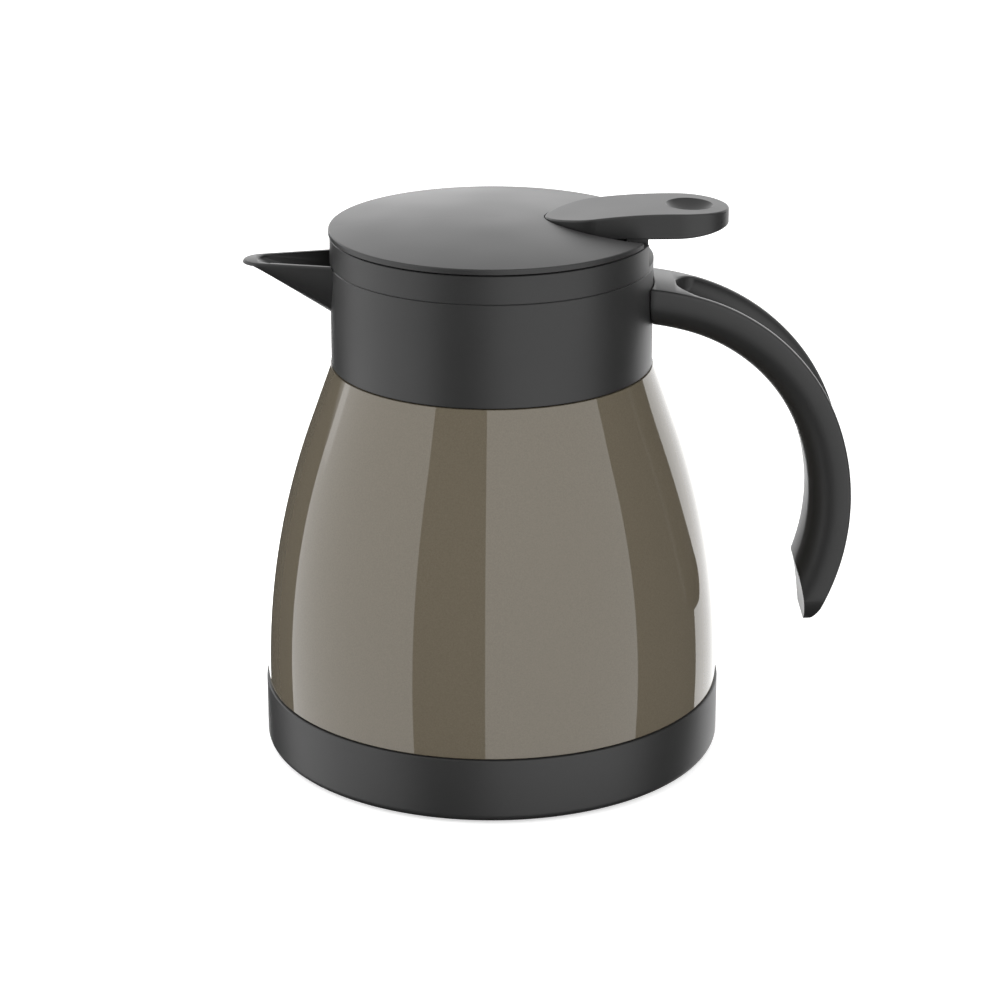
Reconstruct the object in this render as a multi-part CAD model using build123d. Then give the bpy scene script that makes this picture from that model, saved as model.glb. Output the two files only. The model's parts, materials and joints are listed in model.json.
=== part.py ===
from build123d import *
import os
from math import cos, radians, sin, sqrt, tan

# Thermal carafe with a flip lid, in millimetres.
# The origin is the centre of the face that the carafe rests on. +Z is up, the handle
# points along +X, the spout along -X, and the XZ plane is the plane of symmetry.

# General
cut_margin = 1.0            # cutters run this far past the face they open
weld_gap = 0.05             # between pieces that are welded or bonded
tolerance = 0.01            # for picking edges by their place
seam_chamfer = 0.2          # on both edges of an open seam between mouldings

# Base cup and foot
base_radius = 60.0
base_height = 17.6
base_bottom_radius = 2.2
cup_wall = 1.6
cup_floor = 2.2
cup_lift = 0.5              # the foot ring stands this far out of the cup
cup_corner_radius = 2.0
cup_rim_radius = 0.3
foot_inset = 9.0            # foot ring inside the cup's outer wall
foot_width = 8.0
foot_thickness = 1.7
foot_chamfer = 0.25
foot_clearance = 0.1

# Jacket, the painted outer shell
jacket_step = 0.6           # jacket stands in from the cup's wall
jacket_step_gap = 0.1       # above the cup's rim
shell_clearance = 0.2       # jacket's foot inside the cup's wall
jacket_foot_height = 5.0    # lower edge of the jacket
side_start = 1.2            # the side curve starts this far above the cup
body_arc_radius = 202.0     # side curve, upright where it starts
shoulder_angle = 19.8       # straight shoulder, from the vertical
shoulder_height = 103.6     # where the shoulder turns in to the neck
steel_wall = 0.7
neck_inset = 2.9            # neck inside the collar's face
neck_height = 12.0          # steel mouth above the shoulder
neck_bend = 4.0             # rounded top of the neck

# Liner, the inner flask
vacuum_gap = 4.0
liner_floor_rise = 5.5      # liner's floor above the jacket's lower edge
liner_corner_radius = 7.0
liner_weld_height = 20.0    # seam between liner and liner bottom
liner_neck_drop = 14.0      # from the mouth to where its neck runs straight
lip_width = 10.4            # from the neck's outside in to the mouth
bottom_flange = 3.4
getter_radius = 8.0
getter_thickness = 1.6
exhaust_radius = 1.5
seal_plug_radius = 4.0
seal_plug_thickness = 1.1
seal_plug_bevel = 1.0

# Collar with spout
collar_radius = 41.3
collar_height = 26.5
collar_wall = 2.2
collar_seat_gap = 0.2       # collar edge above the shoulder
neck_clearance = 0.3
gasket_thickness = 1.0
gasket_inset = 1.5          # gasket's bore outside the steel mouth
gasket_width = 4.0
floor_thickness = 2.2
seat_chamfer = 1.2
seat_inset = 0.3            # floor's edge outside the steel mouth
spout_length = 22.1         # from the collar's wall to the spout's tip
spout_half_width = 9.3      # at the collar, rim level
spout_side_angle = 13.0     # plan taper of each side
spout_lip_thickness = 0.8
spout_edge_fillet = 0.35
spout_front_wall = 4.0      # rim at the spout's tip
spout_rim_rise = 0.75       # rim above the collar top
spout_depth = 13.85         # at the collar, below the rim
spout_slope = 32.4          # underside, from the horizontal
spout_wall = 1.5
spout_floor_wall = 1.8
channel_end_depth = 0.1     # depth at which the channel's hollow runs out

# Handle, three tangent arcs seen from the side
handle_width = 22.6
handle_thickness = 10.6
handle_start_drop = 4.8     # start of the outer line below the collar top
handle_start_inset = 1.8    # and inside the collar's face
handle_start_angle = 5.6    # below the horizontal
handle_arc_radii = (75.4, 54.5, 64.9)
handle_arc_angles = (10.5, 54.4, 51.2)
handle_inner_edge_radius = 6.8
handle_outer_edge_radius = 0.8
handle_heel_angle = 19.1    # inner corner, below the centre of the last arc
handle_tip_width = 1.6
handle_tip_radius = 0.7
handle_end_radius = 9.0     # rounding of the lower end, seen from behind
handle_cut_sag = 0.7        # hollow of the cut end
handle_fit = 0.1
tongue_half_width = 8.0
tongue_height = 6.0
tongue_drop = 2.6           # tongue top below the handle's top face
groove_depth = 1.2
groove_lip = 3.0
groove_end_flat = 0.2       # left straight between the end's rounded corners
groove_start_angle = 6.0    # along the first arc
groove_end_margin = 14.0    # degrees before the end of the last arc

# Lid ring
ring_height = 7.3
ring_wall = 4.8
lid_gap = 0.4               # cover above ring
skirt_depth = 6.8
skirt_clearance = 0.3
window_half_width = 13.0    # pouring window in the skirt

# Hinge
pin_setback = 4.8           # pin's axis inside the ring's face
pin_rise = 4.9              # and above the collar top
pin_radius = 1.0
pin_clearance = 0.05
pin_inset = 0.3             # pin's open end below the ring's face
pin_stop_wall = 0.5         # block left behind the pin's closed end
barrel_radius = 2.7
barrel_clearance = 0.5
well_floor_rise = 1.3       # well's floor above the collar top
well_side_gap = 1.2         # well's cheeks outside the lever
cheek_width = 3.0
block_depth = 5.5           # block's inner face in front of the pin
ear_width = 4.0
ear_inset = 0.1             # ears inside the lever's sides
spring_wire_radius = 0.35
spring_coil_radius = 1.9
spring_turns = 6
spring_pitch = 1.7
spring_leg_gap = 0.35

# Cover
cover_overhang = 0.3        # cover's rim outside the ring
cover_edge_height = 1.3
cover_rise = 2.6            # dome above its rim
cover_edge_fillet = 0.4
boss_depth = 2.4            # boss below the cover's underside
boss_clearance = 0.5        # boss in front of the hinge block

# Lever
lever_reach = 28.1          # lever's tip inside the cover's rim
lever_overhang = 18.7       # lever's end outside the cover's rim
lever_half_width = 11.3
lever_leaf_length = 12.5    # tip to full width
lever_tail_length = 12.8    # half ellipse at the end
lever_crest_inset = 14.8    # crest in from the end
lever_crest_rise = 5.65     # crest above the cover's rim
lever_crown_radius = 163.0
lever_seat_wall = 1.7       # boss left under the lever's seat
lever_under_rise = 0.5      # underside above the cover's underside
lever_end_rise = 1.9        # underside curves up this much at the end
lever_rise_length = 16.3
lever_edge_fillet = 0.5
lever_low_fillet = 0.4      # along the underside
lever_core_wall = 2.0       # round the hollow moulded into the underside
lever_core_depth = 2.0      # at the hollow's front, behind the hinge
lever_core_radius = 1.5
leaf_tip_fullness = 0.8     # strength of the outline's end tangents
leaf_side_fullness = 1.0
lever_gap = 0.25            # between lever and recess
recess_side_width = 6.4     # recess beside the lever, at full width
recess_leaf_length = 22.5   # tip to full width
dimple_inset = 9.9          # dimple's centre in from the end
dimple_radius = 6.2
dimple_depth = 2.3
lever_screw_inset = 6.0     # behind the lever's tip
lever_screw_y = 5.2
lever_screw_radius = 1.25
lever_screw_length = 5.2
screw_head_radius = 2.3
screw_head_height = 1.6
screw_clearance = 0.1

# Plug
plug_gap = 4.8              # plug's wall inside the steel mouth
plug_wall = 1.8
plug_plate = 2.6
flange_thickness = 2.0
rib_reach = 3.8
rib_thickness = 1.6
seal_height = 3.6
seal_drop = 0.2             # seal's lower face above the foot of the seat
seal_cover = 0.4            # seal's rim outside the seat's chamfer
seal_clearance = 0.3
nose_depth = 3.0            # nose below the steel mouth
nose_step = 0.2             # nose outside the plug's wall, at its foot
nose_flare = 1.4            # and under the seal
cap_thickness = 1.8
plug_screw_radius = 1.1
plug_screw_length = 5.2
plug_screw_angles = (60, 180, 300)
foam_clearance = 0.3

# Places and radii that follow from the sizes above
foot_outer_radius = base_radius - foot_inset
foot_inner_radius = foot_outer_radius - foot_width
body_radius = base_radius - jacket_step
jacket_foot_radius = base_radius - cup_wall - shell_clearance
lip_height = shoulder_height + neck_height
neck_radius = collar_radius - neck_inset
mouth_radius = neck_radius - lip_width
liner_floor_height = jacket_foot_height + liner_floor_rise
liner_neck_height = lip_height - liner_neck_drop
collar_low = shoulder_height + collar_seat_gap
collar_top = collar_low + collar_height
collar_bore = collar_radius - collar_wall
gasket_inner_radius = mouth_radius + gasket_inset
gasket_outer_radius = gasket_inner_radius + gasket_width
floor_low = lip_height + gasket_thickness
floor_top = floor_low + floor_thickness
seat_radius = mouth_radius + seat_inset
seat_low = floor_top - seat_chamfer
spout_root = collar_bore - collar_wall
spout_reach = collar_radius + spout_length
channel_reach = spout_reach - spout_front_wall
rim_height = collar_top + spout_rim_rise
handle_start_x = collar_radius - handle_start_inset
handle_start_height = collar_top - handle_start_drop
ring_inner_radius = collar_radius - ring_wall
ring_top = collar_top + ring_height
skirt_radius = collar_bore - skirt_clearance
skirt_low = collar_top - skirt_depth
pin_x = collar_radius - pin_setback
pin_height = collar_top + pin_rise
bore_radius = pin_radius + pin_clearance
well_half_width = lever_half_width + well_side_gap
well_floor_height = collar_top + well_floor_rise
block_half_width = well_half_width + cheek_width
block_inner_x = pin_x - block_depth
ear_outer_y = lever_half_width - ear_inset
ear_inner_y = ear_outer_y - ear_width
cover_radius = collar_radius + cover_overhang
cover_low = ring_top + lid_gap
cover_rim_height = cover_low + cover_edge_height
crown_top = cover_rim_height + cover_rise
boss_height = cover_low - boss_depth
boss_radius = block_inner_x - boss_clearance
lever_tip_x = cover_radius - lever_reach
lever_end_x = cover_radius + lever_overhang
lever_shoulder_x = lever_tip_x + lever_leaf_length
lever_crest_x = lever_end_x - lever_crest_inset
lever_crest_height = cover_rim_height + lever_crest_rise
lever_seat_height = boss_height + lever_seat_wall
lever_under_height = cover_low + lever_under_rise
lever_screw_x = lever_tip_x + lever_screw_inset
recess_half_width = lever_half_width + recess_side_width
dimple_x = lever_end_x - dimple_inset
plug_radius = mouth_radius - plug_gap
plug_bore = plug_radius - plug_wall
plug_screw_circle = (plug_radius + boss_radius) / 2
flange_low = boss_height - flange_thickness
seal_low = seat_low + seal_drop
seal_radius = seat_radius + seat_chamfer + seal_cover
nose_height = lip_height - nose_depth


def turned(*corners):
    return revolve(Plane.XZ * make_face(Polyline(*corners, close=True)), Axis.Z)


def ring(inner, outer, low, high):
    return turned((inner, low), (outer, low), (outer, high), (inner, high))


def box(x_range, y_range, z_range):
    spans = (x_range, y_range, z_range)
    centre = [(low + high) / 2 for low, high in spans]
    return Pos(*centre) * Box(*[high - low for low, high in spans])


def post(x, y, radius, low, high):
    return Pos(x, y, (low + high) / 2) * Cylinder(radius, high - low)


def crossbar(x, z, radius, y_low, y_high):
    return Pos(x, (y_low + y_high) / 2, z) * Rot(X=90) * Cylinder(radius, y_high - y_low)


# Vacuum flask

def side_curve(inset):
    # the side of the jacket, moved inwards: arc end and arc start
    centre = (body_radius - body_arc_radius, base_height + side_start)
    radius = body_arc_radius - inset
    turn = radians(shoulder_angle)
    start = (centre[0] + radius, centre[1])
    middle = (centre[0] + radius * cos(turn / 2), centre[1] + radius * sin(turn / 2))
    end = (centre[0] + radius * cos(turn), centre[1] + radius * sin(turn))
    return start, middle, end


def shoulder_x(height):
    end = side_curve(0)[2]
    return end[0] - (height - end[1]) * tan(radians(shoulder_angle))


def outer_shell():
    start, middle, end = side_curve(0)
    step = base_height + jacket_step_gap
    bend_start = (neck_radius, lip_height - neck_bend)
    bend_end = (neck_radius - neck_bend, lip_height)
    low = Polyline((0, lip_height), (0, jacket_foot_height),
                   (jacket_foot_radius, jacket_foot_height), (jacket_foot_radius, step),
                   (body_radius, step), start)
    side = ThreePointArc(start, middle, end)
    shoulder = Polyline(end, (shoulder_x(shoulder_height), shoulder_height),
                        (neck_radius, shoulder_height), bend_start)
    bend = TangentArc(bend_start, bend_end, tangent=(0, 1))
    top = Line(bend_end, (0, lip_height))
    body = revolve(Plane.XZ * make_face([low, side, shoulder, bend, top]), Axis.Z)
    opening = body.faces().sort_by(Axis.Z)[0]
    shell = offset(body, amount=-steel_wall, openings=opening)
    mouth = mouth_radius + steel_wall + weld_gap
    return shell - post(0, 0, mouth, shoulder_height, lip_height + cut_margin)


def liner():
    inset = steel_wall + vacuum_gap
    start, middle, end = side_curve(inset)
    turn = radians(shoulder_angle)
    neck = mouth_radius + steel_wall
    floor_end = start[0] - liner_corner_radius
    corner_top = liner_floor_height + liner_corner_radius
    low = Polyline((0, lip_height), (0, liner_floor_height), (floor_end, liner_floor_height))
    corner = TangentArc((floor_end, liner_floor_height), (start[0], corner_top), tangent=(1, 0))
    side = Polyline((start[0], corner_top), start)
    curve = ThreePointArc(start, middle, end)
    shoulder = Spline(end, (neck, liner_neck_height), tangents=[(-sin(turn), cos(turn)), (0, 1)])
    top = Polyline((neck, liner_neck_height), (neck, lip_height), (0, lip_height))
    body = revolve(Plane.XZ * make_face([low, corner, side, curve, shoulder, top]), Axis.Z)
    return offset(body, amount=-steel_wall, openings=body.faces().sort_by(Axis.Z)[-1])


def outer_bottom():
    radius = jacket_foot_radius - steel_wall - weld_gap
    low = jacket_foot_height
    return turned((exhaust_radius, low), (radius, low), (radius, low + bottom_flange),
                  (radius - steel_wall, low + bottom_flange), (radius - steel_wall, low + steel_wall),
                  (exhaust_radius, low + steel_wall))


def vacuum_seal():
    stem = exhaust_radius - weld_gap
    head = jacket_foot_height
    low = head - seal_plug_thickness
    high = head + steel_wall
    return turned((0, low), (seal_plug_radius - seal_plug_bevel, low), (seal_plug_radius, head),
                  (stem, head), (stem, high), (0, high))


def getter():
    return post(0, 0, getter_radius, liner_floor_height - getter_thickness, liner_floor_height)


# Base

def outer_edge(body, level):
    # widest circle of the lowest or the highest ones
    circles = body.edges().filter_by(GeomType.CIRCLE)
    return circles.group_by(Axis.Z)[level].sort_by(SortBy.RADIUS)[-1]


def base_cup():
    inner = base_radius - cup_wall
    low = cup_lift
    floor = low + cup_floor
    body = turned((0, low), (base_radius, low), (base_radius, base_height), (inner, base_height),
                  (inner, floor), (0, floor))
    corner = body.edges().filter_by_position(Axis.Z, floor - tolerance, floor + tolerance)
    body = fillet(corner.filter_by(GeomType.CIRCLE), cup_corner_radius)
    body = fillet(outer_edge(body, 0), base_bottom_radius)
    body = fillet(outer_edge(body, -1), cup_rim_radius)
    groove = ring(foot_inner_radius - foot_clearance, foot_outer_radius + foot_clearance, 0, foot_thickness)
    return body - groove


def foot_ring():
    body = ring(foot_inner_radius, foot_outer_radius, 0, foot_thickness)
    return chamfer(body.edges().group_by(Axis.Z)[0], foot_chamfer)


# Collar and handle

def spout_plan(inset, reach):
    # plan outline: straight tapering sides closed by a round end
    taper = radians(spout_side_angle)
    half = spout_half_width - inset / cos(taper)
    end_radius = (half - tan(taper) * (reach - collar_radius)) * cos(taper) / (1 - sin(taper))
    start_y = half + tan(taper) * (collar_radius - spout_root)
    touch_x = reach - end_radius * (1 - sin(taper))
    touch_y = end_radius * cos(taper)
    sides = Polyline((-touch_x, touch_y), (-spout_root, start_y),
                     (-spout_root, -start_y), (-touch_x, -touch_y))
    return make_face([sides, ThreePointArc((-touch_x, -touch_y), (-reach, 0), (-touch_x, touch_y))])


def spout_section(x, inset, drop):
    # half ellipse hanging from the rim
    half = spout_half_width - tan(radians(spout_side_angle)) * (x - collar_radius) - inset
    depth = spout_depth - tan(radians(spout_slope)) * (x - collar_radius) - drop
    plane = Plane(origin=(-x, 0, rim_height), x_dir=(0, 1, 0), z_dir=(1, 0, 0))
    curve = EllipticalCenterArc((0, 0), half, depth, start_angle=180, arc_size=180)
    return plane * make_face([curve, Line(curve @ 1, curve @ 0)])


def spout_end(drop, thickness):
    # where the underside comes within a thickness of the rim
    return collar_radius + (spout_depth - drop - thickness) / tan(radians(spout_slope))


def spout_form():
    end = spout_end(0, spout_lip_thickness)
    hull = loft([spout_section(spout_root, 0, 0), spout_section(end, 0, 0)], ruled=True)
    plan = spout_plan(0, spout_reach)
    lip = Pos(0, 0, rim_height - spout_lip_thickness) * extrude(plan, amount=spout_lip_thickness)
    column = Pos(0, 0, floor_low) * extrude(plan, amount=rim_height - floor_low)
    body = (hull & column) + lip
    rim = body.edges().filter_by_position(Axis.Z, rim_height - tolerance, rim_height + tolerance)
    return fillet(rim.filter_by_position(Axis.X, -spout_reach, -spout_root - tolerance), spout_edge_fillet)


def spout_channel():
    drop = spout_floor_wall / cos(radians(spout_slope))
    end = spout_end(drop, channel_end_depth)
    hollow = loft([spout_section(spout_root, spout_wall, drop),
                   spout_section(end, spout_wall, drop)], ruled=True)
    plan = spout_plan(spout_wall, channel_reach)
    above = Pos(0, 0, rim_height) * extrude(plan, amount=cut_margin)
    column = Pos(0, 0, floor_top) * extrude(plan, amount=rim_height - floor_top)
    return (hollow & column) + above


def collar():
    wall = turned((neck_radius + neck_clearance, collar_low), (collar_radius - seam_chamfer, collar_low),
                  (collar_radius, collar_low + seam_chamfer), (collar_radius, collar_top - seam_chamfer),
                  (collar_radius - seam_chamfer, collar_top), (collar_bore, collar_top),
                  (collar_bore, floor_top), (seat_radius + seat_chamfer, floor_top),
                  (seat_radius, seat_low), (seat_radius, floor_low),
                  (neck_radius + neck_clearance, floor_low))
    above = rim_height + cut_margin
    spout = spout_form() - post(0, 0, (collar_bore + collar_radius) / 2, floor_low - cut_margin, above)
    spout -= post(0, 0, collar_radius + skirt_clearance, collar_top, above)
    return wall + spout - spout_channel() - handle_tongue(handle_fit)


def handle_path(first_angle, last_angle):
    # outer line of the handle from an angle along the first arc to one along the last arc
    heading = radians(handle_start_angle)
    whole = JernArc((handle_start_x, handle_start_height), (cos(heading), -sin(heading)),
                    handle_arc_radii[0], -handle_arc_angles[0])
    share = first_angle / handle_arc_angles[0]
    first = JernArc(whole @ share, whole % share, handle_arc_radii[0], first_angle - handle_arc_angles[0])
    second = JernArc(first @ 1, first % 1, handle_arc_radii[1], -handle_arc_angles[1])
    third = JernArc(second @ 1, second % 1, handle_arc_radii[2], -last_angle)
    return first, second, third


def handle_bar(path, half_width, low, high):
    # rectangular section swept along the handle's outer line, and its plane
    start = path[0] @ 0
    heading = path[0] % 0
    plane = Plane(origin=(start.X, 0, start.Y), x_dir=(0, 1, 0), z_dir=(heading.X, 0, heading.Y))
    section = Pos(0, (low + high) / 2) * Rectangle(2 * half_width, high - low)
    return plane, section


def handle_tongue(clearance):
    top = handle_start_height - tongue_drop + clearance
    low = top - tongue_height - 2 * clearance
    half = tongue_half_width + clearance
    block = box((0, collar_radius + cut_margin), (-half, half), (low, top))
    return block - post(0, 0, collar_bore - clearance, low - cut_margin, top + cut_margin)


def handle():
    path = handle_path(0, handle_arc_angles[2])
    plane, section = handle_bar(path, handle_width / 2, -handle_thickness, 0)
    corners = section.vertices().group_by(Axis.Y)
    section = fillet(corners[0], handle_inner_edge_radius)
    section = fillet(section.vertices().group_by(Axis.Y)[-1], handle_outer_edge_radius)
    body = sweep(plane * section, path=Plane.XZ * Wire(path))

    last = path[2]
    centre = last.arc_center
    heel_reach = handle_arc_radii[2] - handle_thickness
    heel = Vector(centre.X + heel_reach * cos(radians(handle_heel_angle)),
                  centre.Y - heel_reach * sin(radians(handle_heel_angle)))
    tip = last @ 1
    inward = (centre - tip).normalized()
    toe = tip + inward * handle_tip_width
    away = (toe - heel).normalized()
    hollow = (heel + toe) / 2 + Vector(-away.Y, away.X) * handle_cut_sag
    corner = toe + inward * handle_thickness
    end_cut = make_face([ThreePointArc(heel, hollow, toe),
                         Polyline(toe, corner + away, heel + inward * handle_thickness, heel)])
    body -= extrude(Plane.XZ * end_cut, amount=handle_width, both=True)
    round_end = Rectangle(handle_width, handle_start_height, align=(Align.CENTER, Align.MIN))
    round_end = fillet(round_end.vertices().group_by(Axis.Y)[0], handle_end_radius)
    reach = sum(handle_arc_radii)
    body &= Plane.YZ * Pos(0, tip.Y) * extrude(round_end, amount=reach)
    body = fillet(body.faces().sort_by(Axis.Z)[0].edges(), handle_tip_radius)

    low, high = groove_start_angle, handle_arc_angles[2] - groove_end_margin
    groove_path = handle_path(low, high)
    plane, section = handle_bar(groove_path, handle_width / 2 - groove_lip, -groove_depth, groove_depth)
    groove = sweep(plane * section, path=Plane.XZ * Wire(groove_path))
    end_edges = groove.edges().filter_by(lambda edge: abs(edge.length - 2 * groove_depth) < tolerance)
    body -= fillet(end_edges, handle_width / 2 - groove_lip - groove_end_flat / 2)
    body -= post(0, 0, collar_radius + handle_fit, 0, cover_rim_height)
    return body + handle_tongue(0)


# Lid ring and hinge

def lid_ring():
    body = turned((ring_inner_radius, skirt_low), (skirt_radius, skirt_low), (skirt_radius, collar_top),
                  (collar_radius - seam_chamfer, collar_top), (collar_radius, collar_top + seam_chamfer),
                  (collar_radius, ring_top - seam_chamfer), (collar_radius - seam_chamfer, ring_top),
                  (ring_inner_radius, ring_top))
    half = block_half_width
    body += box((block_inner_x, ring_inner_radius + cut_margin), (-half, half), (collar_top, ring_top))
    half = well_half_width
    well_x = pin_x - barrel_radius - barrel_clearance
    body -= box((well_x, collar_radius + cut_margin), (-half, half),
                (well_floor_height, ring_top + cut_margin))
    half = window_half_width
    body -= box((-collar_radius, 0), (-half, half), (skirt_low - cut_margin, collar_top))
    closed_end = pin_stop_wall - pin_clearance - block_half_width
    return body - crossbar(pin_x, pin_height, bore_radius, closed_end, collar_radius)


def hinge_pin():
    open_end = sqrt(collar_radius ** 2 - (pin_x + pin_radius) ** 2) - pin_inset
    return crossbar(pin_x, pin_height, pin_radius, pin_stop_wall - block_half_width, open_end)


def return_spring():
    # torsion coil round the pin, one leg on the well's floor and one under the lever
    length = spring_turns * spring_pitch
    start_plane = Plane(origin=(pin_x, -length / 2, pin_height), x_dir=(1, 0, 0), z_dir=(0, 1, 0))
    coil = start_plane * Helix(spring_pitch, length, spring_coil_radius, lefthand=True)
    start, end = coil @ 0, coil @ 1
    down = start - (coil % 0) * (pin_height - well_floor_height - spring_leg_gap)
    up = end + (coil % 1) * (lever_under_height - pin_height - spring_leg_gap)
    path = Wire([Line(down, start), coil.edge(), Line(end, up)])
    wire_face = Plane(origin=down, z_dir=path % 0) * Circle(spring_wire_radius)
    return sweep(wire_face, path=path)


# Cover, lever and recess

def leaf_front(tip_x, shoulder_x, half_width):
    # upper half of a round leaf tip
    return Spline((tip_x, 0), (shoulder_x, half_width), tangents=[(0, 1), (1, 0)],
                  tangent_scalars=[leaf_tip_fullness, leaf_side_fullness])


def long_leaf(tip_x, shoulder_x, half_width):
    # leaf outline that runs straight on past the cover's rim
    end_x = cover_radius + cut_margin
    upper = make_face([leaf_front(tip_x, shoulder_x, half_width),
                       Polyline((shoulder_x, half_width), (end_x, half_width), (end_x, 0), (tip_x, 0))])
    return upper + mirror(upper, Plane.XZ)


def lever_outline():
    tail_x = lever_end_x - lever_tail_length
    tail = EllipticalCenterArc((tail_x, 0), lever_tail_length, lever_half_width, start_angle=0, arc_size=90)
    upper = make_face([leaf_front(lever_tip_x, lever_shoulder_x, lever_half_width),
                       Line((lever_shoulder_x, lever_half_width), (tail_x, lever_half_width)),
                       tail, Line((lever_end_x, 0), (lever_tip_x, 0))])
    return upper + mirror(upper, Plane.XZ)


def crown_height(x):
    return lever_crest_height - (x - lever_crest_x) ** 2 / (2 * lever_crown_radius)


def dome_height(x):
    return cover_rim_height + cover_rise * (1 - (x / cover_radius) ** 2)


def lever_side():
    # side outline of the lever: seat, step, rising underside and crowned top
    front = Vector(lever_tip_x - cut_margin, crown_height(lever_tip_x - cut_margin))
    back = Vector(lever_end_x + cut_margin, crown_height(lever_end_x + cut_margin))
    rise_start = Vector(lever_end_x - lever_rise_length, lever_under_height)
    rise_end = Vector(back.X, lever_under_height + lever_end_rise)
    crown = ThreePointArc(back, (lever_crest_x, lever_crest_height), front)
    low = Polyline(front, (front.X, lever_seat_height), (boss_radius, lever_seat_height),
                   (boss_radius, lever_under_height), rise_start)
    rise = TangentArc(rise_start, rise_end, tangent=(1, 0))
    return make_face([low, rise, Line(rise_end, back), crown])


def lever_core():
    # hollow that keeps the overhanging end of the lever at an even wall
    front_x = pin_x + barrel_radius + lever_core_wall
    half = lever_half_width - lever_core_wall
    tail = lever_end_x - lever_tail_length
    outline = make_face([Polyline((tail, half), (front_x, half), (front_x, -half), (tail, -half)),
                         EllipticalCenterArc((tail, 0), lever_tail_length - lever_core_wall, half,
                                             start_angle=-90, arc_size=180)])
    outline = fillet(outline.vertices().group_by(Axis.X)[0], lever_core_radius)
    low, high = lever_under_height - cut_margin, lever_under_height + lever_core_depth
    return Pos(0, 0, low) * extrude(outline, amount=high - low)


def thumb_lever():
    height = lever_crest_height - lever_seat_height
    body = Pos(0, 0, lever_seat_height) * extrude(lever_outline(), amount=height)
    body &= extrude(Plane.XZ * lever_side(), amount=lever_half_width + cut_margin, both=True)
    top = body.faces().sort_by(Axis.Z)[-1]
    body = fillet(top.edges(), lever_edge_fillet)
    low_edges = body.edges().filter_by_position(Axis.Z, lever_under_height - tolerance,
                                                lever_under_height + lever_end_rise)
    rim = low_edges.filter_by(lambda edge: abs((edge @ 0.5).Y) > tolerance)
    body = fillet(rim, lever_low_fillet) - lever_core()
    bowl_radius = (dimple_radius ** 2 + dimple_depth ** 2) / (2 * dimple_depth)
    bowl_height = crown_height(dimple_x) - dimple_depth + bowl_radius
    body -= Pos(dimple_x, 0, bowl_height) * Sphere(bowl_radius)
    web_top = lever_under_height + lever_edge_fillet
    for side in (-1, 1):
        low, high = sorted((side * ear_inner_y, side * ear_outer_y))
        ear = crossbar(pin_x, pin_height, barrel_radius, low, high)
        ear += box((pin_x - barrel_radius, pin_x + barrel_radius), (low, high), (pin_height, web_top))
        body += ear
        screw_top = boss_height + lever_screw_length + screw_clearance
        body -= post(lever_screw_x, side * lever_screw_y, lever_screw_radius + screw_clearance,
                     lever_seat_height - cut_margin, screw_top)
    return body - crossbar(pin_x, pin_height, bore_radius, -lever_half_width, lever_half_width)


def lid_cover():
    half = cover_radius / 2
    crown = ThreePointArc((cover_radius, cover_rim_height), (half, dome_height(half)), (0, crown_top))
    under = Polyline((0, crown_top), (0, boss_height), (boss_radius, boss_height),
                     (boss_radius, cover_low), (cover_radius, cover_low), (cover_radius, cover_rim_height))
    body = revolve(Plane.XZ * make_face([under, crown]), Axis.Z)
    circles = body.edges().filter_by(GeomType.CIRCLE)
    body = fillet(circles.filter_by_position(Axis.Z, cover_low + tolerance, crown_top), cover_edge_fillet)

    tip_x = lever_tip_x - lever_gap
    pocket = long_leaf(tip_x, lever_shoulder_x, lever_half_width + lever_gap)
    opening = long_leaf(tip_x, lever_tip_x + recess_leaf_length, recess_half_width)
    upper = tilt_plane(tip_x) * Pos(-tip_x, 0) * opening
    lower = Pos(0, 0, lever_seat_height) * pocket
    above = crown_top + cut_margin
    scoop = loft([lower.face(), upper.face()], ruled=True)
    scoop += extrude(upper.face(), amount=above - cover_rim_height, dir=(0, 0, 1))
    body -= scoop
    body -= Pos(0, 0, lever_seat_height) * extrude(pocket, amount=above - lever_seat_height)
    rear = Pos(0, 0, cover_low - cut_margin) * extrude(opening, amount=above - cover_low + cut_margin)
    body -= rear & box((boss_radius + lever_gap, cover_radius + cut_margin),
                       (-cover_radius, cover_radius), (0, above))
    for side in (-1, 1):
        body -= post(lever_screw_x, side * lever_screw_y, lever_screw_radius + screw_clearance,
                     boss_height - cut_margin, crown_top)
    for x, y in plug_screw_places():
        body -= post(x, y, plug_screw_radius + screw_clearance, boss_height - cut_margin,
                     flange_low + plug_screw_length + screw_clearance)
    return body


def tilt_plane(tip_x):
    # plane through the dome at the recess's tip and at the cover's rim
    run = cover_radius - tip_x
    fall = dome_height(tip_x) - cover_rim_height
    return Plane(origin=(tip_x, 0, dome_height(tip_x)), x_dir=(run, 0, -fall), z_dir=(fall, 0, run))


# Plug

def plug_screw_places():
    places = [radians(angle) for angle in plug_screw_angles]
    return [(plug_screw_circle * cos(angle), plug_screw_circle * sin(angle)) for angle in places]


def lid_plug():
    high = seal_low + seal_height
    rib_top = high + rib_thickness
    rib_radius = plug_radius + rib_reach
    plate = boss_height - plug_plate
    above = boss_height + cut_margin
    body = turned((plug_bore, nose_height), (plug_radius + nose_step, nose_height),
                  (plug_radius + nose_flare, seal_low), (plug_radius, seal_low), (plug_radius, high),
                  (rib_radius, high), (rib_radius, rib_top), (plug_radius, rib_top),
                  (plug_radius, flange_low), (boss_radius, flange_low), (boss_radius, boss_height),
                  (0, boss_height), (0, plate), (plug_bore, plate))
    for side in (-1, 1):
        body -= post(lever_screw_x, side * lever_screw_y, screw_head_radius + screw_clearance,
                     boss_height - screw_head_height - screw_clearance, above)
    for x, y in plug_screw_places():
        body -= post(x, y, plug_screw_radius + screw_clearance, flange_low - cut_margin, above)
    return body


def plug_cap():
    return post(0, 0, plug_bore - weld_gap, nose_height, nose_height + cap_thickness)


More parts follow.
